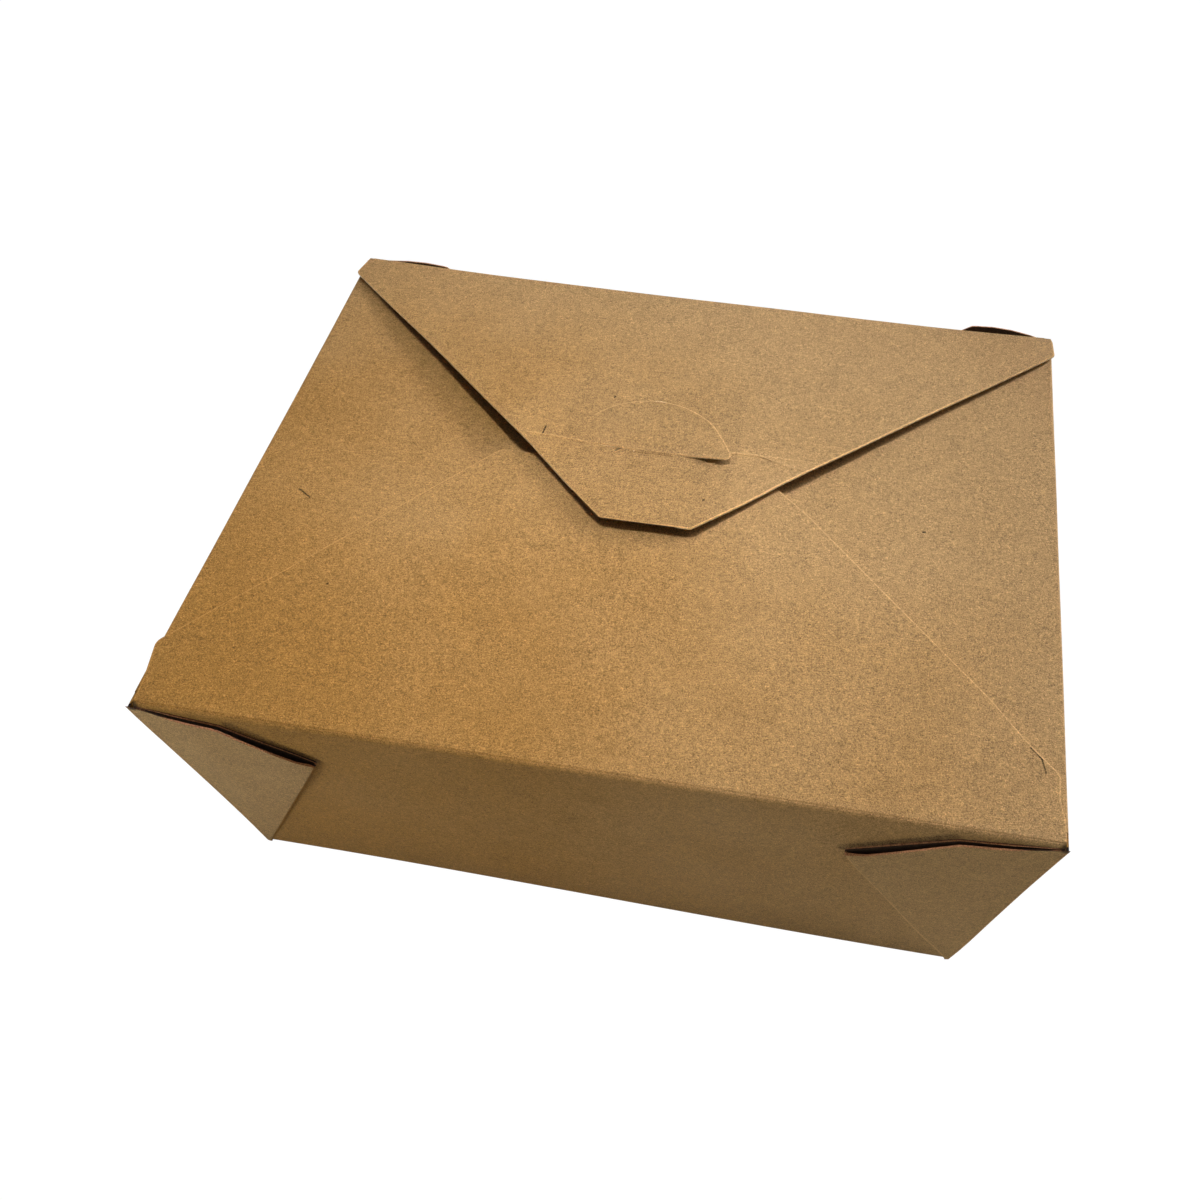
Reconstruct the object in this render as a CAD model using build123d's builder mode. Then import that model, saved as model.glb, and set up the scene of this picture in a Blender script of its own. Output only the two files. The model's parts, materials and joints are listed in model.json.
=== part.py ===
from build123d import *
from math import atan, cos, pi, sin, tan
import os

os.makedirs("parts", exist_ok=True)

# Board and folds, in millimetres
board = 0.4                 # thickness of the kraft board
crease_radius = 0.8         # outside radius of a creased fold
corner_radius = 0.2         # outside radius of the fold from a side wall to a web
clearance = 0.3             # gap between the lid flap and the flaps it lies on
layer_gap = 0.15            # gap between the front flap and the side flaps under it

# Tray, measured over the outer faces of its walls
base_length = 152.4
base_width = 120.7
top_length = 170.4
top_width = 138.8
box_height = 64.8

# Web corners: each web is folded on its diagonal and lies flat on a long wall
web_diagonal = 55.9         # length of the diagonal fold, from the base corner to its tip
web_shoulder_in = 17.8      # from the box corner to the shoulder of the web's top edge
web_shoulder_drop = 2.9     # how far that shoulder is below the corner
web_top_drop = 1.4          # from the box top down to the web's corner
web_foot = 0.6              # height at which the web starts above the base
fold_gap = 0.2              # room inside the rolled diagonal fold
pocket_mid = 0.6            # gap between the two layers at the middle of the web
pocket_end = 0.4            # gap between the two layers at the box corner

# Side flaps, the lowest layer of the top
side_flap_reach = 66.0      # from the wall's crease to the inner edge
side_flap_root_in = 3.0     # how far the root stays inside the long walls
side_flap_end = 84.0        # width of the inner edge
side_flap_corner = 6.0
side_flap_droop = 1.0       # fall of the inner edge

# Front flap, over the side flaps
front_ear_out = 0.6         # how far the ears stand out past the box
front_ear_run = 14.5        # from the crease to the ear
front_ear_corner = 2.5
front_shoulder = 57.4       # width of the flap's straight end
front_shoulder_corner = 3.0
front_flap_rise = 0.6       # rise of the flap's end above its crease
front_flap_drift = 3.0      # how far the end lies to the left of the centre line
shoulder_setback = 3.7      # from the lid's crease to the flap's end

# Lid flap, hinged on the back wall, over all the others
lid_ear_out = 0.5
lid_ear_run = 6.2
lid_ear_corner = 1.5
lid_crease_run = 57.1       # from the hinge to the crease across the lid
lid_tip_run = 21.1          # from that crease to the tip
lid_tip_width = 19.0
lid_tip_corner = 1.0
lid_rise = 1.3              # rise from the hinge to the crease
lid_tip_rise = 0.2          # rise from the crease to the tip
hinge_gap = 0.15            # under the rolled edge of the lid, above the back wall

# Lock: the front flap's tongue comes up through a slit in the lid
neck_width = 8.5
neck_angle = 65.0           # slope of the neck where it passes the slit
tongue_width = 33.2
tongue_reach = 15.0         # from the ears' front edge to the top of the half-moon
tongue_ear_corner = 1.6
tongue_setback = 1.2        # from the lid's crease to the ears' front edge
slit_end_clear = 0.5        # beside the neck
slit_clear = 0.3            # before and behind the neck
kerf = 0.3                  # width of the slit's cut
kerf_radius = 2.6           # the slit's ends curve towards the tip
kerf_turn = 60.0            # by this many degrees


def half_length(z):
    """Half the outer length of the tray at height z."""
    return (base_length + (top_length - base_length) * z / box_height) / 2


def half_width(z):
    """Half the outer width of the tray at height z."""
    return (base_width + (top_width - base_width) * z / box_height) / 2


# Heights of the layers, top faces, from the lid down
front_crease_z = box_height - board - clearance
side_crease_z = front_crease_z - board - layer_gap
long_wall_top = front_crease_z - crease_radius
side_wall_top = side_crease_z - crease_radius
back_wall_top = box_height - board - hinge_gap
inset = crease_radius + board / 4   # the long walls stop inside the side walls' folds
reach = top_length          # longer than any panel, for strips and outlines
above = box_height + 20     # heights clear of the box, for outlines
below = -1

# Places along the lid, on the y axis
hinge_y = half_width(box_height) - board / 2
hinge_z = box_height - board / 2
crease_y = hinge_y - lid_crease_run
tip_y = crease_y - lid_tip_run
front_crease_y = -half_width(front_crease_z)
shoulder_y = crease_y - shoulder_setback
ear_edge_y = crease_y + tongue_setback


def lid_middle(y):
    """Height of the middle of the lid's board over the place y, behind its crease."""
    return hinge_z + lid_rise * (hinge_y - y) / (hinge_y - crease_y)


def front_flap_top(y):
    """Height of the front flap's top face at the place y."""
    return front_crease_z + front_flap_rise * (y - front_crease_y) / (shoulder_y - front_crease_y)


def drift(y):
    """Sideways place of the front flap's centre line at the place y."""
    return -front_flap_drift * (y - front_crease_y) / (shoulder_y - front_crease_y)


# The neck: its top face passes under the slit's front lip and comes up behind it
neck_slope = tan(neck_angle * pi / 180)
neck_pass_y = crease_y + slit_clear
neck_pass_z = hinge_z + lid_rise - board / 2
neck_foot_y = neck_pass_y - (neck_pass_z - front_flap_top(shoulder_y)) / neck_slope
neck_head_z = lid_middle(ear_edge_y) + board / 2 + clearance + board
neck_head_y = neck_pass_y + (neck_head_z - neck_pass_z) / neck_slope
tongue_end_y = ear_edge_y + tongue_reach
tongue_end_z = lid_middle(tongue_end_y) + board / 2 + clearance + board
slit_depth = 2 * slit_clear + board / sin(neck_angle * pi / 180) + board / neck_slope
slit_length = neck_width + 2 * (-drift(crease_y) + slit_end_clear)

# The web's fold: the board's angles round a base corner leave a wedge that folds in two
front_lean = atan((top_width - base_width) / 2 / box_height)
side_lean = atan((top_length - base_length) / 2 / box_height)
long_edge_lean = atan(tan(side_lean) * cos(front_lean))
short_edge_lean = atan(tan(front_lean) * cos(side_lean))
web_angle = (pi / 2 - long_edge_lean - short_edge_lean) / 2
fold_lean = web_angle - long_edge_lean
wall_face = Plane(
    origin=(half_length(0), -half_width(0), 0),
    x_dir=(1, 0, 0),
    z_dir=(0, -cos(front_lean), -sin(front_lean)),
)
along_fold = wall_face.y_dir * cos(fold_lean) - wall_face.x_dir * sin(fold_lean)
across_fold = wall_face.x_dir * cos(fold_lean) + wall_face.y_dir * sin(fold_lean)
wall_slope = box_height / cos(front_lean)
web_span = wall_slope / cos(long_edge_lean) * sin(web_angle) + board
web_section = Plane(
    origin=wall_face.origin + along_fold * 1.5 * web_diagonal,
    x_dir=across_fold,
    z_dir=-along_fold,
)
fold_height = 2 * board + fold_gap
outer_mid = 2 * board + pocket_mid
outer_end = 2 * board + pocket_end
web_stack = outer_mid + board
lap = corner_radius + board / 20    # the side wall's edge runs this deep into the outer layer


def is_at_corner(edge):
    """True for a long edge in the plane of the side wall's outer face."""
    middle = edge @ 0.5
    return abs(middle.X - half_length(middle.Z)) < board / 10 and edge.length > web_diagonal


def stands_out(edge):
    """Distance of an edge's middle from the long wall's face."""
    return (edge @ 0.5 - wall_face.origin).dot(wall_face.z_dir)


def on_wall(height, inward):
    """Point on the long wall's face, by its height and its distance in from the box corner."""
    up = height / cos(front_lean)
    return (up * tan(long_edge_lean) - inward, up)


fold_tip = (-web_diagonal * sin(fold_lean), web_diagonal * cos(fold_lean))
web_outline = [
    on_wall(web_foot, -2 * web_stack),
    on_wall(web_foot, 2 * board),
    (fold_tip[0] - 2 * board, fold_tip[1] - board),
    (fold_tip[0] - board, fold_tip[1] + board),
    on_wall(box_height - web_top_drop - web_shoulder_drop, web_shoulder_in),
    on_wall(box_height - web_top_drop, 0),
    on_wall(box_height - web_top_drop, -2 * web_stack),
]

# Long strip, one bent board: back wall, base, front wall, front flap, neck and tongue.
# First the outline that it is cut to, seen from the front for the walls and from above
# for the flap.
with BuildPart() as long_outline:
    with BuildSketch(Plane.XZ):
        Polygon(
            (-half_length(below) + inset, below),
            (half_length(below) - inset, below),
            (half_length(long_wall_top) - inset, long_wall_top),
            (-half_length(long_wall_top) + inset, long_wall_top),
            align=None,
        )
    extrude(amount=reach, both=True)
    with BuildSketch(Plane.XZ.offset(-hinge_y / 2)):
        Polygon(
            (-half_length(long_wall_top) + inset, long_wall_top),
            (half_length(long_wall_top) - inset, long_wall_top),
            (half_length(box_height) - inset, box_height),
            (-half_length(box_height) + inset, box_height),
            align=None,
        )
    extrude(amount=-reach)
    with BuildSketch(Plane.XY.offset(long_wall_top)):
        root = half_length(long_wall_top) - inset
        ear = half_length(box_height) + front_ear_out
        ear_y = front_crease_y + front_ear_run
        Polygon(
            (-root, front_crease_y - board),
            (root, front_crease_y - board),
            (ear + drift(ear_y), ear_y),
            (front_shoulder / 2 + drift(shoulder_y), shoulder_y),
            (-front_shoulder / 2 + drift(shoulder_y), shoulder_y),
            (-ear + drift(ear_y), ear_y),
            align=None,
        )
        fillet(vertices().group_by(Axis.Y)[1], front_ear_corner)
        fillet(vertices().group_by(Axis.Y)[-1], front_shoulder_corner)
        with Locations((drift(shoulder_y), (shoulder_y + ear_edge_y) / 2)):
            Rectangle(neck_width, ear_edge_y - shoulder_y + 2 * board)
        with BuildSketch(mode=Mode.PRIVATE) as half_moon:
            with BuildLine():
                left = drift(ear_edge_y) - tongue_width / 2
                right = drift(ear_edge_y) + tongue_width / 2
                Line((left, ear_edge_y), (right, ear_edge_y))
                ThreePointArc(
                    (right, ear_edge_y),
                    (drift(ear_edge_y), tongue_end_y),
                    (left, ear_edge_y),
                )
            make_face()
            fillet(half_moon.vertices(), tongue_ear_corner)
        add(half_moon.sketch)
    extrude(amount=above)

with BuildPart() as long_strip:
    with BuildSketch(Plane.YZ):
        with BuildLine():
            FilletPolyline(
                (half_width(back_wall_top), back_wall_top),
                (half_width(0), 0),
                (-half_width(0), 0),
                (front_crease_y, front_crease_z),
                (neck_foot_y, front_flap_top(shoulder_y)),
                (neck_head_y, neck_head_z),
                (tongue_end_y, tongue_end_z),
                radius=crease_radius,
            )
            offset(amount=board, side=Side.RIGHT)
        make_face()
    extrude(amount=reach, both=True)
    add(long_outline.part, mode=Mode.INTERSECT)

# Cross strip, the other bent board: side flaps and side walls over the same base
with BuildPart() as cross_outline:
    with BuildSketch(Plane.YZ.offset(base_length / 2 - crease_radius)):
        Polygon(
            (-half_width(below) - web_stack, below),
            (half_width(below) + web_stack, below),
            (half_width(side_wall_top) + web_stack, side_wall_top),
            (-half_width(side_wall_top) - web_stack, side_wall_top),
            align=None,
        )
    extrude(amount=reach)
    mirror(about=Plane.YZ)

    Box(base_length, base_width - 2 * crease_radius, 4 * board)
    with BuildSketch(Plane.XY.offset(side_wall_top - side_flap_droop - board)):
        flap_root = half_width(side_wall_top) - side_flap_root_in
        flap_edge_x = half_length(side_crease_z) - side_flap_reach
        Polygon(
            (flap_edge_x, -side_flap_end / 2),
            (half_length(box_height), -flap_root),
            (half_length(box_height), flap_root),
            (flap_edge_x, side_flap_end / 2),
            align=None,
        )
        fillet(vertices().group_by(Axis.X)[0], side_flap_corner)
        mirror(about=Plane.YZ)
    extrude(amount=above)

with BuildPart() as cross_strip:
    with BuildSketch(Plane.XZ):
        with BuildLine():
            FilletPolyline(
                (-flap_edge_x, side_crease_z - side_flap_droop),
                (-half_length(side_crease_z), side_crease_z),
                (-half_length(0), 0),
                (half_length(0), 0),
                (half_length(side_crease_z), side_crease_z),
                (flap_edge_x, side_crease_z - side_flap_droop),
                radius=crease_radius,
            )
            offset(amount=board, side=Side.LEFT)
        make_face()
    extrude(amount=reach, both=True)
    add(cross_outline.part, mode=Mode.INTERSECT)

# Web corner, front right: two layers and a rolled fold, drawn across the diagonal fold
# and run along it, then cut to the web's outline on the wall's face.
with BuildPart() as web:
    with BuildSketch(web_section):
        with BuildLine():
            Line((web_span, 0), (0, 0))
            ThreePointArc((0, 0), (-fold_height / 2, fold_height / 2), (0, fold_height))
            ThreePointArc((0, fold_height), (web_span / 2, outer_mid), (web_span, outer_end))
            offset(amount=board, side=Side.LEFT)
        make_face()
    extrude(amount=2 * web_diagonal)
    with BuildSketch(wall_face.offset(-board)):
        Polygon(*web_outline, align=None)
    extrude(amount=4 * web_stack, mode=Mode.INTERSECT)
    with BuildSketch(Plane.XZ.offset(half_width(0) / 2)):
        Polygon(
            (0, below),
            (half_length(below), below),
            (half_length(box_height), box_height),
            (0, box_height),
            align=None,
        )
    extrude(amount=reach, mode=Mode.INTERSECT)
    corner_edges = edges().filter_by(is_at_corner).sort_by(stands_out)
    fillet(corner_edges[-1], corner_radius)
    with BuildSketch(wall_face.offset(-board)):
        Polygon(
            on_wall(-web_foot, inset),
            on_wall(-web_foot, -web_stack),
            on_wall(box_height, -web_stack),
            on_wall(box_height, inset),
            align=None,
        )
    extrude(amount=2 * board + fold_gap / 2, mode=Mode.SUBTRACT)

# What lies outside the middle of the outer layer: the side wall's edge ends there
with BuildPart() as past_web:
    with BuildSketch(web_section):
        with BuildLine():
            outer = ThreePointArc(
                (0, fold_height - lap),
                (web_span / 2, outer_mid - lap),
                (web_span, outer_end - lap),
            )
            Polyline(
                outer @ 1,
                (web_span + reach, outer_end - lap),
                (web_span + reach, reach),
                (-web_stack, reach),
                (-web_stack, fold_height - lap),
                outer @ 0,
            )
        make_face()
    extrude(amount=2 * reach, both=True)
    mirror(about=Plane.YZ)
    mirror(about=Plane.XZ)

with BuildPart() as webs:
    add(web.part)
    mirror(about=Plane.YZ)
    mirror(about=Plane.XZ)

# The tray with its side flaps and front flap, one folded board
with BuildPart() as carton:
    add(cross_strip.part)
    add(past_web.part, mode=Mode.SUBTRACT)
    add(long_strip.part)
    add(webs.part)
carton.part.label = "carton"
export_step(carton.part, "parts/carton.step")

# Lid flap: its rolled edge lies on the back wall's top, round the hinge axis
with BuildPart() as lid:
    with BuildSketch(Plane.YZ):
        with BuildLine():
            Polyline(
                (hinge_y, hinge_z),
                (crease_y, hinge_z + lid_rise),
                (tip_y, hinge_z + lid_rise + lid_tip_rise),
            )
        trace(line_width=board)
        with Locations((hinge_y, hinge_z)):
            Circle(board / 2)
    extrude(amount=reach, both=True)
    with BuildSketch(Plane.XY.offset(hinge_z - board)):
        ear = half_length(box_height) + lid_ear_out
        Polygon(
            (-half_length(box_height) + inset, hinge_y + board),
            (-ear, hinge_y - lid_ear_run),
            (-lid_tip_width / 2, tip_y),
            (lid_tip_width / 2, tip_y),
            (ear, hinge_y - lid_ear_run),
            (half_length(box_height) - inset, hinge_y + board),
            align=None,
        )
        fillet(vertices().group_by(Axis.Y)[1], lid_ear_corner)
        fillet(vertices().group_by(Axis.Y)[0], lid_tip_corner)
        with Locations((drift(crease_y), crease_y + slit_depth / 2)):
            Rectangle(neck_width + 2 * slit_end_clear, slit_depth, mode=Mode.SUBTRACT)
        with BuildLine() as slit:
            straight = Line((-slit_length / 2, crease_y), (slit_length / 2, crease_y))
            for end, way in ((straight @ 0, 1), (straight @ 1, -1)):
                CenterArc(end - (0, kerf_radius), kerf_radius, 90, way * kerf_turn)
        trace(slit.line, line_width=kerf, mode=Mode.SUBTRACT)
    extrude(amount=above, mode=Mode.INTERSECT)
lid.part.label = "lid_flap"
export_step(lid.part, "parts/lid_flap.step")
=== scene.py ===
"""Takeout box of folded kraft board: dressed mesh pieces, materials and a plain studio."""

import json
import math

import bmesh
import bpy
from bpy.props import FloatProperty, FloatVectorProperty, PointerProperty
from mathutils import Matrix, Vector, noise


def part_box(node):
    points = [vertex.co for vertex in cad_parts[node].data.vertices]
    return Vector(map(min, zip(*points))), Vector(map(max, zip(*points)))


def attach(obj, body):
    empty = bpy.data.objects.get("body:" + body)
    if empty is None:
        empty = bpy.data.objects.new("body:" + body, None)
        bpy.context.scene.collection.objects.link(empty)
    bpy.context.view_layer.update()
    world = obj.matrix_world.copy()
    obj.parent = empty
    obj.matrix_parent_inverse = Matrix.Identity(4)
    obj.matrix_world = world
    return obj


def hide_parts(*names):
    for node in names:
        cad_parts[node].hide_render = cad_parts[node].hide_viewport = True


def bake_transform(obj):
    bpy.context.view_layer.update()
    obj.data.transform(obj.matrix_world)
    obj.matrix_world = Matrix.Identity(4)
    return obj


bl_info = {
    "name": "Takeout Box",
    "version": (1, 0, 0),
    "blender": (4, 5, 0),
    "location": "View3D > Sidebar > Takeout Box",
    "description": "Dresses a folded kraft board takeout box",
    "category": "Object",
}

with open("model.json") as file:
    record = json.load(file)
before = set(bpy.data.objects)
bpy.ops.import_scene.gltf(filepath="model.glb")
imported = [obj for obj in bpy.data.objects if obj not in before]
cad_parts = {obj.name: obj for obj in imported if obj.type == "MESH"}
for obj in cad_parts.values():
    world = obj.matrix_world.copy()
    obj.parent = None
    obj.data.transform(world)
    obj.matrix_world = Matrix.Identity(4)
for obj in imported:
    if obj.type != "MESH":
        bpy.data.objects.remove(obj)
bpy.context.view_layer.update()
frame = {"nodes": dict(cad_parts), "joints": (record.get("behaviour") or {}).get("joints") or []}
MM = 0.001
SLOT = "kraft_board"

# The board's surfaces, in the order of a piece's material slots; the pocket's slot is painted shade, and
# the rim's slot is partly a painted highlight
FACE, CUT, WEB, POCKET_SHADE, RIM_HIGHLIGHT = range(5)
SHARP = math.radians(35)            # edges that turn by more than this stay sharp

# Sizes and places below are in millimetres of the box's frame
HINGE = Vector(frame["joints"][0]["pos_m"]) / MM
LID_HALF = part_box("lid_flap")[1].x / MM
BOARD = 0.4
FOOT = Vector((76.2, 60.35))        # half length and half width at the foot
FLARE = Vector((9.0, 9.05)) / 64.8  # growth of both with height
WALL_LEAN = math.radians(7.9)
FRONT_FOLD = (-69.2, 63.8)          # y and z of the fold on top of the front wall
SIDE_FOLD = (85.4, 63.2)            # x and z of the folds on top of the side walls
CORNER = Vector((84.9, -69.4, 63.4))  # rolled end of the front right web, and mirrored the left one

# Heights of the closed top's layers
SIDE_FLAPS = (61.0, 63.62)          # the side flaps, and below them the walls and webs
FRONT_FLAP = (63.7, 65.4)
LID_TOP = (65.6, 65.7)              # the tongue and the lid's tip lie above this

# The lid's crease in the frame, and its two halves as they run beside the tongue:
# where a half starts and stops, its y, its slope, and how long it takes to fade out
LID_CREASE = (HINGE.y - 57.1, HINGE.z + 1.3)
LEFT_CREASE = {"start": -31.0, "stop": -15.5, "at": 12.15, "slope": 0.0, "end": 1.0}
RIGHT_CREASE = {"start": 13.6, "stop": 33.0, "at": 14.05, "slope": 0.03, "end": 9.0}
CREASE_JOG = 2.4                    # the right half lies this far behind the left one
CREASE_HEIGHT = 0.10
CREASE_CUTS = (-0.5, -0.2, 0.0, 0.2, 0.5)  # rows of vertices that raise the crease

# The web corners, by how far their layers lie off the wall
WEB_TIP = (48.3, 48.5)              # where a web's diagonal fold ends: its x and its height
LEFT_TIP_OUT = (4.9, 1.3)           # how much further out and up the front left tip lies
INNER_LAYER = 0.45                  # the inner layer ends here, and the pocket starts
WEB_START, POCKET_END, OUTER_FACE = 0.3, 0.6, 0.95
# Top edges of the front webs' inner layers, by their ends on the front wall; a painted shadow lies on the
# wall above them
WEB_EDGES = (((-53.4, 50.3), (-67.0, 61.2)), ((48.0, 49.0), (66.0, 61.0)))

# The cut edges of the top's flaps: strips under CUT_WIDTH, with a fallen rim beside them that is worn pale
# and carries a painted highlight
CUT_WIDTH = 0.6
RIM_WIDTH = 0.34
RIM_FALL = 0.10
FLAP_FACES_ABOVE = 63.3

# The skin over the lid's hinge fold
SKIN = 0.16
SKIN_RADIUS = 0.27
SKIN_INSET = 2.3                    # how much shorter it is than the lid, at each end
SKIN_RINGS = 60

# Stray dark fibres and specks in the board, by their ends on the top faces and their width
TRAY_FIBRES = (
    ((-74.3, -10.2), (-71.4, -12.1), 0.24),
    ((78.7, -49.8), (80.7, -51.9), 0.22),
    ((80.7, -51.9), (81.4, -54.8), 0.22),
    ((57.4, 1.7), (57.7, 1.8), 0.42),
    ((-59.3, -35.3), (-59.1, -35.2), 0.30),
)
LID_FIBRES = (
    ((-26.5, 12.5), (-26.3, 15.0), 0.26),
    ((11.0, -1.5), (11.2, -1.4), 0.32),
    ((-13.6, 28.2), (-13.5, 28.5), 0.30),
)
# Directions of the board's pale and dark strands, as turns about x, y and z
PALE_TURNS = ((0.2, 0.1, 0.25), (-0.15, 0.2, 1.3), (0.1, -0.2, 2.35))
DARK_TURNS = ((-0.2, 0.15, 0.8), (0.25, -0.1, 1.85), (-0.1, -0.15, 2.9))

# Sockets of the Mix node when it mixes colours
MIX_FACTOR, MIX_FIRST, MIX_SECOND, MIX_RESULT = 0, 6, 7, 2

# The camera's turn and place in metres, and its lens
CAMERA_PLACE = Matrix((
    (0.98633, -0.13998, 0.08693, 0.031555),
    (0.16355, 0.76729, -0.62010, -0.184270),
    (0.02010, 0.62584, 0.77969, 0.254063),
    (0, 0, 0, 1),
))
LENS = 37.53
LENS_SHIFT = (-0.0624, 0.0210)
SKY_WAY = (0.38, 0.42, 0.82)        # where the sky is brightest


class BoardSettings(bpy.types.PropertyGroup):
    kraft_colour: FloatVectorProperty(
        name="Kraft Colour", description="Face of the board", subtype="COLOR",
        size=3, min=0, max=1, default=(0.340, 0.175, 0.042),
    )
    # Also the colour of the faces' painted lit side at the back right
    pale_colour: FloatVectorProperty(
        name="Pale Colour", description="Greyer clouds in the board", subtype="COLOR",
        size=3, min=0, max=1, default=(0.425, 0.272, 0.128),
    )
    # Pale cut edges of the top's flaps, made paler still as a painted highlight, since these narrow faces
    # catch little light
    cut_colour: FloatVectorProperty(
        name="Cut Colour", description="Cut edges of the top's flaps", subtype="COLOR",
        size=3, min=0, max=1, default=(0.90, 0.73, 0.49),
    )
    web_colour: FloatVectorProperty(
        name="Web Colour", description="Outer layers of the web corners", subtype="COLOR",
        size=3, min=0, max=1, default=(0.402, 0.246, 0.102),
    )
    # Painted shade: near black on the web corners' cut edges and on the front edge of the lid's tip
    cut_shade_colour: FloatVectorProperty(
        name="Cut Shade Colour", description="Darkened cut edges of the web corners",
        subtype="COLOR", size=3, min=0, max=1, default=(0.030, 0.014, 0.008),
    )
    # Painted highlight: the lit reddish band in the middle of the web corners' cut edges
    glint_colour: FloatVectorProperty(
        name="Glint Colour", description="Rubbed middle of those cut edges",
        subtype="COLOR", size=3, min=0, max=1, default=(0.420, 0.200, 0.100),
    )
    # Painted shade: the near-black inside of the web corners' pockets
    pocket_shade_colour: FloatVectorProperty(
        name="Pocket Colour", description="Inside of the web corners' pockets",
        subtype="COLOR", size=3, min=0, max=1, default=(0.050, 0.026, 0.013),
    )
    mesh_step: FloatProperty(
        name="Mesh Step", description="Spacing of the board's mesh", unit="LENGTH",
        min=0.001, max=0.02, default=0.004,
    )
    unevenness: FloatProperty(
        name="Unevenness", description="How far the folded board waves", unit="LENGTH",
        min=0, max=0.002, default=0.00035,
    )
    back_sag: FloatProperty(
        name="Back Sag", description="Sag of the back fold's middle", unit="LENGTH",
        min=0, max=0.003, default=0.0009,
    )
    foot_skew: FloatProperty(
        name="Foot Skew", description="How far the foot's front right corner stands forward",
        unit="LENGTH", min=0, max=0.005, default=0.0022,
    )
    front_pocket: FloatProperty(
        name="Front Pocket", description="How far the front webs' outer layers stand off",
        unit="LENGTH", min=0, max=0.005, default=0.0011,
    )
    back_pocket: FloatProperty(
        name="Back Pocket", description="How far the back webs' outer layers stand off",
        unit="LENGTH", min=0, max=0.012, default=0.0073,
    )
    tip_lift: FloatProperty(
        name="Tip Lift", description="How far the lid's tip springs up",
        unit="LENGTH", min=0, max=0.005, default=0.0011,
    )
    ear_lift: FloatProperty(
        name="Ear Lift", description="How far the tongue's right ear springs up",
        unit="LENGTH", min=0, max=0.005, default=0.0013,
    )
    fibre_depth: FloatProperty(
        name="Fibre Depth", description="Relief of the fibres", unit="LENGTH",
        min=0, max=0.001, default=0.00012,
    )


class StageSettings(bpy.types.PropertyGroup):
    key_power: FloatProperty(
        name="Key Power", description="Lamp behind and to the right", unit="POWER",
        min=0, max=100, default=9.6,
    )
    top_power: FloatProperty(
        name="Top Power", description="Narrow lamp overhead", unit="POWER",
        min=0, max=100, default=0.074,
    )
    low_power: FloatProperty(
        name="Low Power", description="Low lamp in front of the left web", unit="POWER",
        min=0, max=100, default=0.44,
    )
    floor_bounce: FloatVectorProperty(
        name="Floor Bounce", description="Colour of the light that the floor throws back",
        subtype="COLOR", size=3, min=0, max=1, default=(0.74, 0.73, 0.61),
    )
    sky_colour: FloatVectorProperty(
        name="Sky Colour", description="Colour of the light from all around",
        subtype="COLOR", size=3, min=0, max=1, default=(1.0, 0.90, 0.72),
    )
    sky_strength: FloatProperty(
        name="Sky Strength", description="Light from above and behind",
        min=0, max=2, default=0.40,
    )
    horizon_strength: FloatProperty(
        name="Horizon Strength", description="Light from low down all around",
        min=0, max=2, default=0.06,
    )
    floor_size: FloatProperty(
        name="Floor Size", description="Radius of the floor", unit="LENGTH",
        min=0.5, max=20, default=4.0,
    )


class Wire:
    """A shader socket that takes part in Python sums."""

    def __init__(self, graph, socket):
        self.graph = graph
        self.socket = socket

    def math(self, operation, *values):
        return self.graph.node("ShaderNodeMath", {"operation": operation}, dict(enumerate(values)))

    def __add__(self, other):
        return self.math("ADD", self, other)

    def __sub__(self, other):
        return self.math("SUBTRACT", self, other)

    def __rsub__(self, other):
        return self.math("SUBTRACT", other, self)

    def __mul__(self, other):
        return self.math("MULTIPLY", self, other)

    def __pow__(self, other):
        return self.math("POWER", self, other)

    def __abs__(self):
        return self.math("ABSOLUTE", self)

    __radd__ = __add__
    __rmul__ = __mul__

    def out(self, name):
        """Another output of the same node."""
        return Wire(self.graph, self.socket.node.outputs[name])

    def root(self):
        return self.math("SQRT", self)

    def at_least(self, other):
        return self.math("MAXIMUM", self, other)

    def at_most(self, other):
        return self.math("MINIMUM", self, other)

    def swing(self, amount):
        """A noise's way above or below its middle, times an amount."""
        return (self - 0.5) * amount

    def rise(self, low, high):
        """0 below low, 1 above high, smooth between them."""
        return self.graph.node(
            "ShaderNodeMapRange", {"interpolation_type": "SMOOTHSTEP"},
            {"Value": self, "From Min": low, "From Max": high},
        )

    def fall(self, low, high):
        """1 below low, 0 above high, smooth between them."""
        return 1 - self.rise(low, high)


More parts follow.
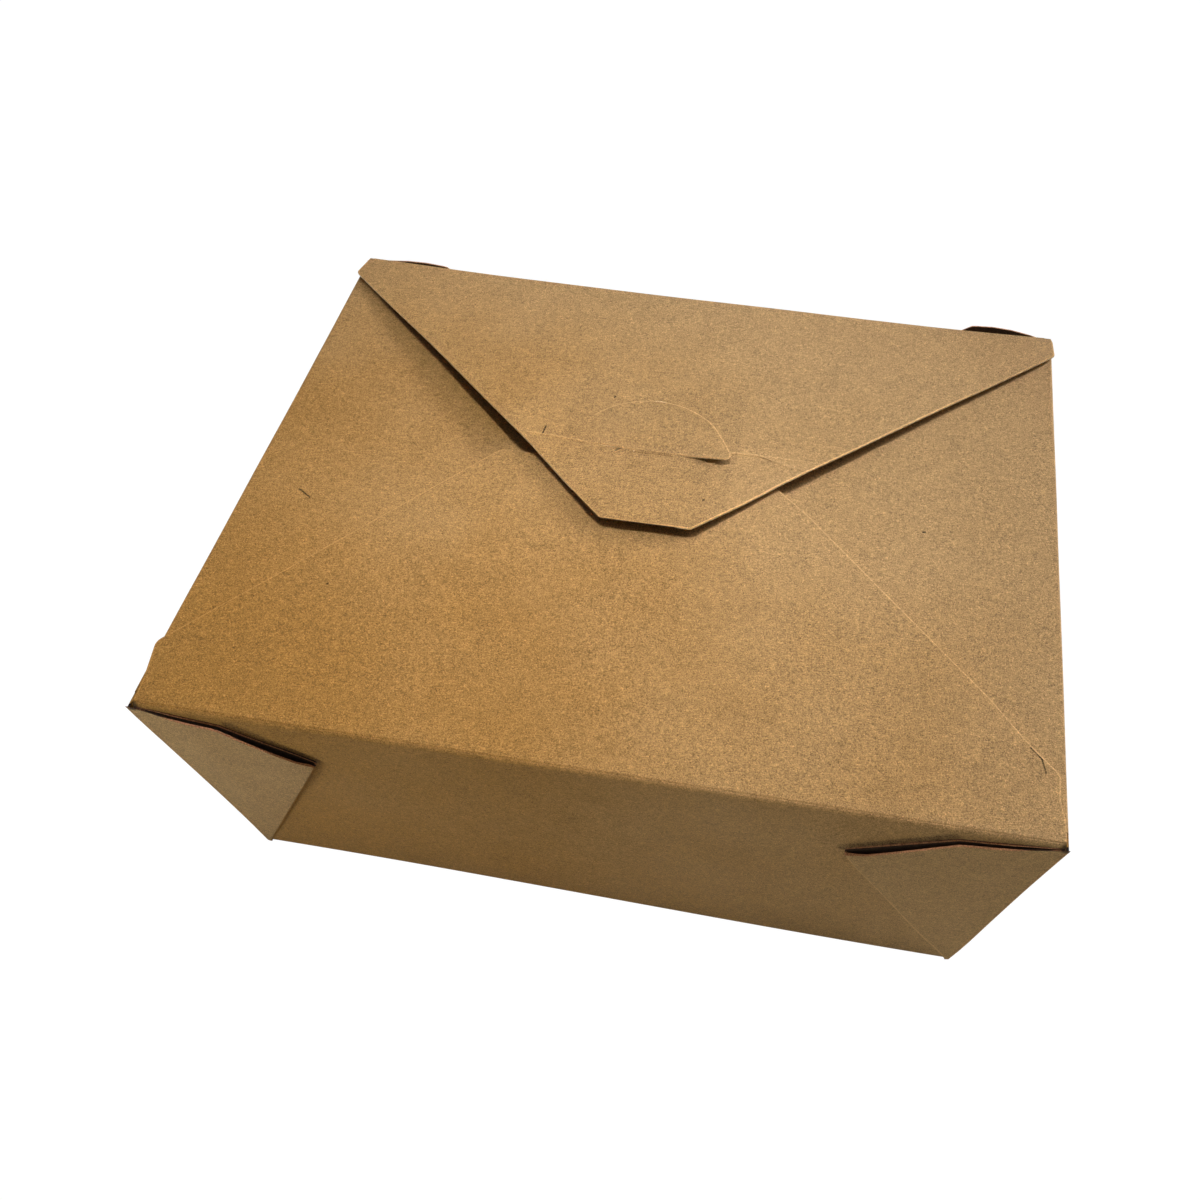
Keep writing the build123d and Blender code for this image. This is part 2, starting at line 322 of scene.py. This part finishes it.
class Graph:
    """The nodes of one material or world."""

    def __init__(self, owner):
        owner.use_nodes = True
        self.tree = owner.node_tree
        self.tree.nodes.clear()

    def node(self, kind, settings=None, inputs=None, output=0):
        """A new node: its settings first, then the values or links of its sockets."""
        made = self.tree.nodes.new(kind)
        for key, value in (settings or {}).items():
            setattr(made, key, value)
        for key, value in (inputs or {}).items():
            if isinstance(value, Wire):
                self.tree.links.new(value.socket, made.inputs[key])
            else:
                made.inputs[key].default_value = value
        return Wire(self, made.outputs[output]) if made.outputs else None

    def scaled(self, vector, scale):
        """A vector or a colour times a number."""
        return self.node("ShaderNodeVectorMath", {"operation": "SCALE"}, {0: vector, "Scale": scale})

    def mix(self, factor, first, second):
        """The first colour where the factor is 0 and the second where it is 1."""
        first, second = (end if isinstance(end, Wire) else (*end, 1) for end in (first, second))
        return self.node(
            "ShaderNodeMix", {"data_type": "RGBA"},
            {MIX_FACTOR: factor, MIX_FIRST: first, MIX_SECOND: second}, output=MIX_RESULT,
        )

    def noise(self, place, scale, detail=2.0, roughness=0.5):
        return self.node(
            "ShaderNodeTexNoise", None,
            {"Vector": place, "Scale": scale, "Detail": detail, "Roughness": roughness},
        )

    def fibres(self, place, turn, length, width):
        """Mask of short fibres of a length and width, in millimetres, turned to one direction."""
        laid = self.node(
            "ShaderNodeMapping", {"vector_type": "TEXTURE"},
            {"Vector": place, "Rotation": turn, "Scale": (length, width, width)},
        )
        return self.noise(laid, scale=1.0, roughness=0.55).rise(0.54, 0.68)

    def spots(self, place, scale, core, rim, chance):
        """Mask of sparse round spots: their spacing's inverse, sizes as shares of it, and rarity."""
        cells = self.node(
            "ShaderNodeTexVoronoi", {"feature": "F1"},
            {"Vector": place, "Scale": scale, "Randomness": 1.0}, output="Distance",
        )
        draw = self.node("ShaderNodeSeparateColor", None, {0: cells.out("Color")})
        return cells.fall(core, rim) * draw.rise(chance, chance + 0.05)


def stroke(place, first, second, width):
    """Mask of a short straight mark between two points of a plane, in millimetres."""
    across, up = place
    run = Vector(second) - Vector(first)
    along = (
        (across - first[0]) * (run.x / run.length_squared)
        + (up - first[1]) * (run.y / run.length_squared)
    ).at_least(0.0).at_most(1.0)
    off_across = across - first[0] - along * run.x
    off_up = up - first[1] - along * run.y
    return (off_across * off_across + off_up * off_up).root().fall(width * 0.35, width)


def crease_mask(x, y, start, stop, at, slope, end):
    """Mask of one half of the lid's crease, which fades out before it stops."""
    return abs(y - at - x * slope).fall(0.10, 0.42) * x.rise(start, start + 2.0) * x.fall(stop - end, stop)


def fold_mask(first, second, place, core, edge):
    """Mask along a fold that runs through a place of the cross-section of two axes."""
    return (abs(first - place[0]) + abs(second - place[1])).fall(core, edge)


def cut_colour(graph, settings, x, y, z):
    """Cut edges: pale on the top's flaps, partly a painted highlight; on the web corners painted shade,
    near black, with a band of painted highlight; painted shade on the lid's tip.
    """
    off_wall = abs(y) - z * FLARE.y - FOOT.y
    on_web = off_wall.rise(-0.9, -0.5) * z.fall(63.45, 63.6) * abs(x).rise(38.0, 44.0)
    # The front edge of the lid's tip gets painted shade
    on_tip = z.rise(*LID_TOP) * (y + x * 0.3).fall(-8.5, -8.0)
    # Painted highlight on a band of each web layer's cut edge; the rest of those edges gets painted shade
    painted_glint = off_wall.rise(0.06, 0.16) * off_wall.fall(0.42, 0.50) + off_wall.rise(0.85, 1.0)
    near_fold = y.fall(-58.0, -56.0)
    pale = graph.mix(near_fold, settings.cut_colour, settings.kraft_colour)
    dark = graph.mix(painted_glint, settings.cut_shade_colour, settings.glint_colour)
    return graph.mix(on_web.at_least(on_tip), pale, dark)


def web_fold_highlight(x, y, z):
    """Mask of the diagonal line where a web's inner layer ends under its outer layer, painted there as a
    highlight.
    """
    slope = (FOOT.x - WEB_TIP[0]) / WEB_TIP[1]
    front_left = y.fall(0, 1) * x.fall(-1, 0)
    fold = abs(x) + z * slope - FOOT.x - front_left * z * (LEFT_TIP_OUT[0] / WEB_TIP[1])
    return abs(fold).fall(0.05, 0.45)


def wear_and_painted_shade(blotch, x, y, z):
    """Worn folds on the board's outer faces, a painted shadow on the front wall above the front webs' top
    edges, and painted shade on the tongue.
    """
    folds = (
        fold_mask(y, z, FRONT_FOLD, 0.2, 1.6)
        + fold_mask(abs(x), z, SIDE_FOLD, 0.2, 1.6)
        + fold_mask(y, z, (HINGE.y, HINGE.z), 0.3, 1.8)
    )
    on_front = y.fall(-1.0, 0.0) * z.fall(62.2, 62.8)
    # Painted shadow on the front wall, just above the top edges of the front webs' inner layers
    pressed = sum(stroke((x, z), *edge, width=1.7) for edge in WEB_EDGES) * on_front
    # Painted shade on the tongue
    tongue = z.rise(*LID_TOP) * abs(x + 3.0).fall(19.0, 19.5)
    return folds * blotch.rise(0.35, 0.6) * 0.10 - pressed * 0.5 - tongue * 0.08


def lid_right_highlight(x, y, z):
    """Mask of the lid's right edge, past the tongue, where its rim gets the brightest painted highlight.
    """
    past_tongue = y.fall(9.0, 12.0).at_least(x.rise(22.0, 26.0))
    return z.rise(65.1, 65.5) * x.rise(2.0, 6.0) * x.fall(60.0, 75.0) * past_tongue


def kraft_material(name, settings, kind=FACE, marks=(), creases=()):
    """Uncoated kraft board: clouds, mottle, short crossing fibres, flecks, specks and worn folds, with
    painted shade, painted highlights and a painted light side.
    """
    material = bpy.data.materials.new(name)
    graph = Graph(material)
    place = graph.scaled(graph.node("ShaderNodeTexCoord", output="Object"), 1 / MM)
    axes = graph.node("ShaderNodeSeparateXYZ", None, {0: place})
    x, y, z = axes, axes.out("Y"), axes.out("Z")

    cloud = graph.noise(place, scale=0.018, detail=3.0)
    blotch = graph.noise(place, scale=0.16, detail=5.0, roughness=0.65)
    mottle = graph.noise(place, scale=0.85, detail=4.0, roughness=0.65)
    grain = graph.noise(place, scale=3.8, detail=3.0, roughness=0.75)
    pale_strands = sum(graph.fibres(place, turn, length=2.0, width=0.17) for turn in PALE_TURNS)
    dark_strands = sum(graph.fibres(place, turn, length=2.2, width=0.17) for turn in DARK_TURNS)
    speck = graph.spots(place, scale=0.30, core=0.03, rim=0.07, chance=0.80)
    fleck = graph.spots(place, scale=0.9, core=0.06, rim=0.17, chance=0.55)
    tone = (
        1.0
        + cloud.swing(0.18)
        + blotch.swing(0.30)
        + mottle.swing(0.80)
        + grain.swing(3.10)
        + pale_strands * 0.36
        - dark_strands * 0.13
        - fleck * 0.07
        - speck * 0.45
    )
    relief = grain * 0.5 + mottle * 0.4 + pale_strands * 0.30 - dark_strands * 0.25

    if kind == CUT:
        face = cut_colour(graph, settings, x, y, z)
    elif kind == WEB:
        face = graph.mix(cloud, settings.web_colour, settings.pale_colour)
        # Painted highlight along the web's diagonal fold
        tone = tone + web_fold_highlight(x, y, z) * 0.46
    # The pockets' insides get painted shade, one flat near-black colour
    elif kind == POCKET_SHADE:
        face = settings.pocket_shade_colour
    else:
        tone = tone + wear_and_painted_shade(blotch, x, y, z)
        if kind == RIM_HIGHLIGHT:
            # The rim is paler, partly worn board and partly painted highlight, and brightest as a painted
            # highlight on the lid's right edge
            tone = tone + 0.34 + lid_right_highlight(x, y, z) * 0.55
        # Painted light: the faces turn more golden towards the front left and paler towards the key lamp
        # at the back right
        painted_shade_side = (x * 0.5 + y * 0.5 + cloud.swing(90)).fall(-75.0, 45.0)
        face = graph.mix(painted_shade_side, settings.pale_colour, settings.kraft_colour)

    # Painted shade, near black, at the rolled ends of the front webs
    off_corner = (abs(x) - CORNER.x) ** 2 + (y - CORNER.y) ** 2 + (z - CORNER.z) ** 2
    tone = tone * (1 - off_corner.root().fall(0.7, 1.5) * 0.8)
    for crease in creases:
        line = crease_mask(x, y, **crease)
        tone = tone + line * 0.30
        relief = relief + line * 0.8
    on_top = z.rise(61.0, 61.6)
    for first, second, width in marks:
        tone = tone - stroke((x, y), first, second, width) * on_top * 0.85
    bump = graph.node(
        "ShaderNodeBump", None,
        {"Strength": 0.75, "Distance": settings.fibre_depth, "Height": relief},
    )
    shader = graph.node(
        "ShaderNodeBsdfPrincipled", None,
        {
            "Base Color": graph.scaled(face, tone),
            "Roughness": 0.84 + grain.swing(0.3),
            "Specular IOR Level": 0.25,
            "Normal": bump,
        },
    )
    graph.node("ShaderNodeOutputMaterial", None, {"Surface": shader})
    return material


def board_materials(settings, lid):
    """The materials of a piece's slots, in their order; pieces share all but the first."""
    wanted = (
        (f"{SLOT}_lid", {"marks": LID_FIBRES, "creases": (LEFT_CREASE, RIGHT_CREASE)}) if lid
        else (f"{SLOT}_tray", {"marks": TRAY_FIBRES}),
        (f"{SLOT}_cut", {"kind": CUT}),
        (f"{SLOT}_web", {"kind": WEB}),
        (f"{SLOT}_pocket", {"kind": POCKET_SHADE}),
        (f"{SLOT}_rim", {"kind": RIM_HIGHLIGHT}),
    )
    return [bpy.data.materials.get(name) or kraft_material(name, settings, **how) for name, how in wanted]


def rise(value, low, high):
    """0 below low, 1 above high, smooth between them."""
    share = min(max((value - low) / (high - low), 0.0), 1.0)
    return share * share * (3 - 2 * share)


def fall(value, low, high):
    """1 below low, 0 above high, smooth between them."""
    return 1 - rise(value, low, high)


def hump(value, half):
    """1 in the middle, 0 from half on, round between them."""
    return max(1 - (value / half) ** 2, 0)


def half_length(z):
    """Half the tray's outer length at a height."""
    return FOOT.x + FLARE.x * z


def half_width(z):
    """Half the tray's outer width at a height."""
    return FOOT.y + FLARE.y * z


def lid_face(y):
    """Height of the lid's top face over a place behind its crease."""
    along = (HINGE.y - y) / (HINGE.y - LID_CREASE[0])
    return HINGE.z + (LID_CREASE[1] - HINGE.z) * along + BOARD / 2


def settle(place, settings):
    """Where a point of the exact frame lies in the slightly uneven real box, in millimetres."""
    x, y, z = place
    top = rise(z, 40, 62)
    wave = settings.unevenness / MM
    up = wave * noise.noise(Vector((x / 42, y / 38, 3.1))) * top
    out = wave * noise.noise(Vector((x / 45, z / 30, 8.4))) * rise(z, 0, 12) * (1 - top)
    skew = settings.foot_skew / MM * fall(z, 0, 62) * rise(x, -76, 76) * fall(y, -60, 20)
    sag = settings.back_sag / MM * rise(y, 35, 69) * top * hump(x, 84)
    return Vector((x, y - skew + out * (1 if y > 0 else -1), z - sag + up))


def tongue_shape(place, settings):
    """The tongue lies forward over its slit, with its left ear flat and its right ear sprung up."""
    x, y, z = place
    over_slit = rise(z - lid_face(y), 0, 0.35)
    fore = fall(y, 13, 22)
    right = rise(x, 5, 11)
    ear = right * fall(y, 14, 20)
    middle = rise(x, -10, -8) * (1 - right)
    aside = 1.3 * fall(y, 12, 22) + 0.8 * ear
    forward = (1.45 + 0.45 * middle) * fore + 1.6 * ear
    up = settings.ear_lift / MM * ear - (0.30 + 0.12 * fore) * (1 - right)
    return Vector((x + over_slit * aside, y - over_slit * forward, z + over_slit * up))


def pocket_gap(x, y, z, settings):
    """How far a web's outer layer stands off where its pocket is open."""
    reach = abs(x)
    if y > 0:
        gap = settings.back_pocket / MM * (0.80 if x < 0 else 1)
        across = rise(reach, 46, 64) * hump(max(reach - 66, 0), 18.5)
    else:
        gap = settings.front_pocket / MM
        across = rise(reach, 45, 52) * (1 - min(max(reach - 51, 0) / 17, 1))
    return gap * across * rise(z, 18, 60)


def left_tip_shape(x, z):
    """The front left web's tip lies further out than the right one's, and its fold stays straight."""
    fold = -FOOT.x + (FOOT.x - WEB_TIP[0]) * z / WEB_TIP[1]
    share = max(1 - max(fold - x, 0) / (fold + half_length(z)), 0)
    shift = share * min(z / WEB_TIP[1], 1) * fall(x, -38, -16)
    return x - LEFT_TIP_OUT[0] * shift, z + LEFT_TIP_OUT[1] * shift * fall(z, 50, 59)


def web_shape(place, settings):
    """The web corners: pressed flat at the foot, their outer layers sprung off the wall."""
    x, y, z = place
    off_wall = abs(y) - half_width(z)
    if off_wall > 0:
        off_wall += pocket_gap(x, y, z, settings) * rise(off_wall, INNER_LAYER, INNER_LAYER + 0.3)
        loose = rise(half_length(z) - abs(x), 0, 11)
        if y > 0:
            loose = max(loose, rise(z, 44, 58))
        off_wall *= 0.35 + 0.65 * rise(z, 0, 20) * loose
        y = (1 if y > 0 else -1) * (half_width(z) + off_wall)
    foot_out = 1.1 * max(1 - z / WEB_TIP[1], 0) * fall(x, -50, -30) * fall(y, -58, -30)
    if y < -50 and x < 0:
        x, z = left_tip_shape(x, z)
    return Vector((x - foot_out, y, z))


def side_bow(place):
    """How far the side walls' folds bow outwards, the left one more and most of all at the front."""
    x, y, z = place
    if z > SIDE_FLAPS[1]:
        return 0.0
    amount = rise(z, 20, 60) * rise(abs(x), 60, 80) * rise(y, -78, -70)
    if y < -66.5 and abs(x) < half_length(z) - 0.6:
        amount *= fall(z, 61, 63)
    return -amount * (0.65 + 0.45 * (66 - y) / 130) if x < 0 else amount * 0.45


def front_flap_shift(x, y):
    """How far left the front flap's shoulders lie, and how far in its right ear."""
    right_shoulder = 1.2 * rise(x, 15, 25) * rise(y, 0, 8)
    left_shoulder = 3.2 * fall(x, -24, -8) * max((y + 54) / 62, 0)
    right_ear = 1.1 * rise(x, 70, 80) * rise(y, -66, -58) * fall(y, -46, -22)
    return right_shoulder + left_shoulder + right_ear


def tray_shape(place, settings):
    """The tray, layer by layer: the tongue, the front flap, then the side flaps, walls and webs."""
    x, y, z = place
    if abs(x) < 22 and y > 9 and z > LID_CREASE[1] - 1:
        return settle(tongue_shape(place, settings), settings)
    x += side_bow(place)
    if FRONT_FLAP[0] < z < FRONT_FLAP[1] and -66 < y < 12:
        x -= front_flap_shift(x, y)
    if SIDE_FLAPS[0] < z < SIDE_FLAPS[1] and abs(y) < 67:
        # The side flaps droop, the left one more than the right one
        z -= (1.5 if x < 0 else 0.3) * fall(abs(x), 20, 80)
    if z > 60 and 0.6 < half_length(z) - abs(x) < 1.4:
        # The folds' front ends spread
        x += math.copysign(0.5 * fall(y, -66, -61), x)
    place = Vector((x, y, z))
    if z < SIDE_FLAPS[1]:
        place = web_shape(place, settings)
    return settle(place, settings)


def lid_shape(place, settings):
    """The lid springs up at its tip and along its left edge, and its crease stands a little proud."""
    x, y, z = place
    fore = fall(y, LID_CREASE[0] - 19, LID_CREASE[0] + 1)
    z += settings.tip_lift / MM * fore * (1 - 0.7 * rise(x, 8, 24))
    x += 0.25 * fore
    y -= 1.35 * fore
    z += 0.9 * fall(x, -28, -12) * fall(y, 36, 62) * rise(y, -4, 10)
    # The right ear stands a little further out
    x += 0.6 * rise(x, 78, 83) * hump(y - 67.8, 3.0)
    at = LEFT_CREASE["at"]
    if x < LEFT_CREASE["stop"] or x > RIGHT_CREASE["start"]:
        z += CREASE_HEIGHT * max(1 - abs(y - at) / CREASE_CUTS[-1], 0)
    jog = CREASE_JOG + RIGHT_CREASE["slope"] * (x - 14)
    y += jog * rise(x, 10, 14) * fall(x, 20, 29) * fall(abs(y - at), 0, 9)
    return settle(Vector((x, y, z)), settings)


def smooth_patch(start, seen):
    """The faces that join a face across soft edges, and the length of the sharp edges round them."""
    patch, rim = [start], 0.0
    for face in patch:
        for edge in face.edges:
            if len(edge.link_faces) == 2 and edge.calc_face_angle(0) < SHARP:
                other = next(f for f in edge.link_faces if f is not face)
                if other.index not in seen:
                    seen.add(other.index)
                    patch.append(other)
            else:
                rim += edge.calc_length()
    return patch, rim


def mark_cuts(bm):
    """Gives the board's cut edges their slot: they are the narrow strips between sharp edges."""
    bm.faces.ensure_lookup_table()
    seen = set()
    for start in bm.faces:
        if start.index in seen:
            continue
        seen.add(start.index)
        patch, rim = smooth_patch(start, seen)
        area = sum(face.calc_area() for face in patch)
        if rim and 2 * area / rim < CUT_WIDTH * MM:
            for face in patch:
                face.material_index = CUT


def mark_webs(bm):
    """Gives the webs' outer faces and the insides of their pockets their slots; the pockets' slot is
    painted shade.
    """
    for face in bm.faces:
        middle = face.calc_center_median() / MM
        off_wall = abs(middle.y) - half_width(middle.z)
        if face.material_index == CUT or off_wall < WEB_START or middle.z > SIDE_FOLD[1]:
            continue
        outward = face.normal.y * (1 if middle.y > 0 else -1)
        if outward < -0.4 or outward > 0.4 and off_wall < POCKET_END:
            face.material_index = POCKET_SHADE
        elif off_wall > OUTER_FACE:
            face.material_index = WEB


def soften_cuts(bm):
    """The top faces of the flaps fall a little towards their cut edges, where a rim is worn pale and
    carries a painted highlight.
    """
    flat = [edge for edge in bm.edges if len(edge.link_faces) == 2 and edge.calc_face_angle(0) < 0.002
            and edge.link_faces[0].material_index == edge.link_faces[1].material_index]
    bmesh.ops.dissolve_edges(bm, edges=flat, use_verts=False)
    tops = [face for face in bm.faces if face.material_index == FACE and face.normal.z > 0.95
            and face.calc_center_median().z > FLAP_FACES_ABOVE * MM]
    ring = bmesh.ops.inset_region(
        bm, faces=tops, thickness=RIM_WIDTH * MM, use_boundary=True, use_even_offset=True,
    )["faces"]
    ring = [face for face in ring if any(
        other.material_index == CUT for edge in face.edges for other in edge.link_faces)]
    fallen = {vert for face in ring for vert in face.verts
              if any(other.material_index == CUT for other in vert.link_faces)}
    for face in ring:
        face.material_index = RIM_HIGHLIGHT
    for vert in fallen:
        vert.co.z -= RIM_FALL * MM
    bmesh.ops.triangulate(bm, faces=bm.faces)


def slice_mesh(bm, point, normal):
    """Cuts the mesh along a plane, so that it can bend there."""
    geometry = list(bm.verts) + list(bm.edges) + list(bm.faces)
    bmesh.ops.bisect_plane(bm, geom=geometry, plane_co=point, plane_no=normal, dist=MM / 500)


def board_piece(name, node, settings, shape, lid=False):
    """A fine mesh of a node's board, with each point moved by shape."""
    bm = bmesh.new()
    bm.from_mesh(frame["nodes"][node].data)
    for face in bm.faces:
        face.material_index = FACE
    bmesh.ops.remove_doubles(bm, verts=bm.verts, dist=MM / 1000)
    bm.faces.index_update()
    mark_cuts(bm)
    mark_webs(bm)
    soften_cuts(bm)
    low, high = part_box(node)
    for axis in range(3):
        normal = Vector([1.0 if i == axis else 0.0 for i in range(3)])
        at = math.ceil(low[axis] / settings.mesh_step) * settings.mesh_step
        while at < high[axis]:
            slice_mesh(bm, normal * at, normal)
            at += settings.mesh_step
    if lid:
        for off in CREASE_CUTS:
            slice_mesh(bm, Vector((0, LEFT_CREASE["at"] + off, 0)) * MM, Vector((0, 1, 0)))
    bmesh.ops.triangulate(bm, faces=[face for face in bm.faces if len(face.verts) > 4])
    for vert in bm.verts:
        vert.co = shape(vert.co / MM, settings) * MM
    mesh = bpy.data.meshes.new(name)
    bm.to_mesh(mesh)
    bm.free()
    return finish_piece(name, mesh, settings, lid)


def finish_piece(name, mesh, settings, lid=False):
    """Puts a mesh of the board in the scene, with its materials and its sharp edges."""
    for material in board_materials(settings, lid):
        mesh.materials.append(material)
    mesh.shade_smooth()
    mesh.set_sharp_from_angle(angle=SHARP)
    looks = {}
    for face in mesh.polygons:
        for key in face.edge_keys:
            looks.setdefault(key, set()).add(face.material_index)
    for edge in mesh.edges:
        if len(looks[edge.key]) > 1:
            edge.use_edge_sharp = True
    piece = bpy.data.objects.new(name, mesh)
    bpy.context.scene.collection.objects.link(piece)
    return piece


class TAKEOUT_OT_tray(bpy.types.Operator):
    """Builds the tray, its web corners, side flaps and front flap"""

    bl_idname = "takeout.tray"
    bl_label = "Tray"

    def execute(self, context):
        settings = context.scene.takeout_board
        piece = board_piece("tray_board", "carton", settings, tray_shape)
        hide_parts("carton")
        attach(piece, "tray")
        return {"FINISHED"}


class TAKEOUT_OT_lid(bpy.types.Operator):
    """Builds the lid flap with its crease and slit"""

    bl_idname = "takeout.lid"
    bl_label = "Lid"

    def execute(self, context):
        settings = context.scene.takeout_board
        piece = board_piece("lid_board", "lid_flap", settings, lid_shape, lid=True)
        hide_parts("lid_flap")
        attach(piece, "lid")
        return {"FINISHED"}


def skin_section():
    """Outer line of the hinge's skin: up the wall, round the bead and along the lid, as y and z."""
    lean = math.tan(WALL_LEAN)
    line = [
        (HINGE.y + 0.18 - 2.6 * lean, HINGE.z - 2.6),
        (HINGE.y + SKIN_RADIUS - 0.5 * lean, HINGE.z - 0.5),
    ]
    for step in range(7):
        turn = math.radians(-15 + 105 * step / 6)
        line.append((HINGE.y + SKIN_RADIUS * math.cos(turn), HINGE.z + SKIN_RADIUS * math.sin(turn)))
    return line + [(HINGE.y - 0.8, HINGE.z + 0.26), (HINGE.y - 2.4, HINGE.z + 0.17)]


def skin_ring(bm, x, section, settings):
    """One ring of the skin: out along its section, and back a thickness nearer to the hinge."""
    ring = [bm.verts.new(settle((x, y, z), settings) * MM) for y, z in section]
    for y, z in reversed(section):
        off_hinge = Vector((y - HINGE.y, z - HINGE.z))
        share = SKIN / max(off_hinge.length, SKIN)
        inner = (x, y - off_hinge.x * share, z - off_hinge.y * share)
        ring.append(bm.verts.new(settle(inner, settings) * MM))
    return ring


class TAKEOUT_OT_back_crease(bpy.types.Operator):
    """Builds the skin of board that runs over the lid's hinge fold"""

    bl_idname = "takeout.back_crease"
    bl_label = "Back Crease"

    def execute(self, context):
        settings = context.scene.takeout_board
        half = LID_HALF - SKIN_INSET
        section = skin_section()
        bm = bmesh.new()
        rings = [
            skin_ring(bm, -half + 2 * half * i / SKIN_RINGS, section, settings)
            for i in range(SKIN_RINGS + 1)
        ]
        around = len(rings[0])
        for first, second in zip(rings, rings[1:]):
            for i in range(around):
                j = (i + 1) % around
                bm.faces.new((first[i], first[j], second[j], second[i]))
        bm.faces.new(rings[0][::-1])
        bm.faces.new(rings[-1])
        bmesh.ops.recalc_face_normals(bm, faces=bm.faces)
        mesh = bpy.data.meshes.new("back_crease")
        bm.to_mesh(mesh)
        bm.free()
        piece = finish_piece("back_crease", mesh, settings)
        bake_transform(piece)
        return {"FINISHED"}


def soft_lamp(name, place, size, power, colour, target=(0, 0, 0.03), spread=180):
    """A round lamp at a place, turned towards a target; its spread is in degrees."""
    light = bpy.data.lights.new(name, "AREA")
    light.shape = "DISK"
    light.size = size
    light.spread = math.radians(spread)
    light.energy = power
    light.color = colour
    lamp = bpy.data.objects.new(name, light)
    bpy.context.scene.collection.objects.link(lamp)
    lamp.visible_camera = False
    turn = (Vector(target) - Vector(place)).to_track_quat("-Z", "Y")
    lamp.matrix_world = Matrix.Translation(place) @ turn.to_matrix().to_4x4()


def seen_directly(graph):
    """1 for rays from the camera, a mirror or a pane, 0 for light that falls on the object."""
    path = graph.node("ShaderNodeLightPath", output="Is Camera Ray")
    return (path + path.out("Is Glossy Ray") + path.out("Is Transmission Ray")).at_most(1.0)


def white_floor(settings):
    """A round floor that looks white and still shows the object's shadow."""
    mesh = bpy.data.meshes.new("floor")
    bm = bmesh.new()
    bmesh.ops.create_circle(bm, cap_ends=True, segments=96, radius=settings.floor_size)
    bm.to_mesh(mesh)
    bm.free()
    material = bpy.data.materials.new("floor_white")
    graph = Graph(material)
    matt = graph.node("ShaderNodeBsdfDiffuse", None, {"Color": (*settings.floor_bounce, 1)})
    glow = graph.node("ShaderNodeEmission", None, {"Color": (1, 1, 1, 1), "Strength": 1.05})
    surface = graph.node(
        "ShaderNodeMixShader", None, {0: seen_directly(graph) * 0.96, 1: matt, 2: glow},
    )
    graph.node("ShaderNodeOutputMaterial", None, {"Surface": surface})
    mesh.materials.append(material)
    floor = bpy.data.objects.new("floor", mesh)
    bpy.context.scene.collection.objects.link(floor)


def studio_world(settings):
    """A world that looks white and lights the object from above and behind."""
    world = bpy.data.worlds.new("studio")
    bpy.context.scene.world = world
    graph = Graph(world)
    way = graph.node("ShaderNodeTexCoord", output="Generated")
    up = graph.node(
        "ShaderNodeVectorMath", {"operation": "DOT_PRODUCT"}, {0: way, 1: SKY_WAY}, output="Value",
    )
    around = graph.node(
        "ShaderNodeBackground", None,
        {
            "Color": (*settings.sky_colour, 1),
            "Strength": up.rise(0.25, 0.97) * settings.sky_strength + settings.horizon_strength,
        },
    )
    white = graph.node("ShaderNodeBackground", None, {"Color": (1, 1, 1, 1), "Strength": 1.0})
    both = graph.node("ShaderNodeMixShader", None, {0: seen_directly(graph), 1: around, 2: white})
    graph.node("ShaderNodeOutputWorld", None, {"Surface": both})


class TAKEOUT_OT_stage(bpy.types.Operator):
    """Sets up the floor, lamps, world and camera"""

    bl_idname = "takeout.stage"
    bl_label = "Stage"

    def execute(self, context):
        settings = context.scene.takeout_stage
        white_floor(settings)
        studio_world(settings)
        soft_lamp(
            "key", place=(0.75, 0.69, 0.62), size=0.42, power=settings.key_power,
            colour=(1.0, 0.98, 0.96),
        )
        soft_lamp(
            "overhead", place=(-0.012, -0.025, 1.0), size=0.08, power=settings.top_power,
            colour=(1.0, 0.99, 0.98), target=(-0.010, -0.017, 0.065), spread=20,
        )
        soft_lamp(
            "low", place=(-0.30, -0.25, 0.03), size=0.15, power=settings.low_power,
            colour=(0.96, 1.0, 0.96),
        )

        lens = bpy.data.cameras.new("camera")
        lens.lens = LENS
        lens.shift_x, lens.shift_y = LENS_SHIFT
        camera = bpy.data.objects.new("camera", lens)
        context.scene.collection.objects.link(camera)
        camera.matrix_world = CAMERA_PLACE
        context.scene.camera = camera
        context.scene.view_settings.view_transform = "Standard"
        return {"FINISHED"}


class TAKEOUT_PT_panel(bpy.types.Panel):
    """Lists the box's pieces and their settings"""

    bl_idname = "TAKEOUT_PT_panel"
    bl_label = "Takeout Box"
    bl_space_type = "VIEW_3D"
    bl_region_type = "UI"
    bl_category = "Takeout Box"

    def draw(self, context):
        layout = self.layout
        for operator in OPERATORS:
            layout.operator(operator.bl_idname)
        for group in (context.scene.takeout_board, context.scene.takeout_stage):
            box = layout.box()
            for name in group.bl_rna.properties.keys():
                if name not in ("rna_type", "name"):
                    box.prop(group, name)


OPERATORS = (TAKEOUT_OT_tray, TAKEOUT_OT_lid, TAKEOUT_OT_back_crease, TAKEOUT_OT_stage)
CLASSES = (BoardSettings, StageSettings, *OPERATORS, TAKEOUT_PT_panel)


def register():
    for cls in CLASSES:
        bpy.utils.register_class(cls)
    bpy.types.Scene.takeout_board = PointerProperty(type=BoardSettings)
    bpy.types.Scene.takeout_stage = PointerProperty(type=StageSettings)


def unregister():
    del bpy.types.Scene.takeout_stage
    del bpy.types.Scene.takeout_board
    for cls in reversed(CLASSES):
        bpy.utils.unregister_class(cls)


def main():
    register()
    bpy.ops.takeout.tray()
    bpy.ops.takeout.lid()
    bpy.ops.takeout.back_crease()
    bpy.ops.takeout.stage()


if __name__ == "__main__":
    main()
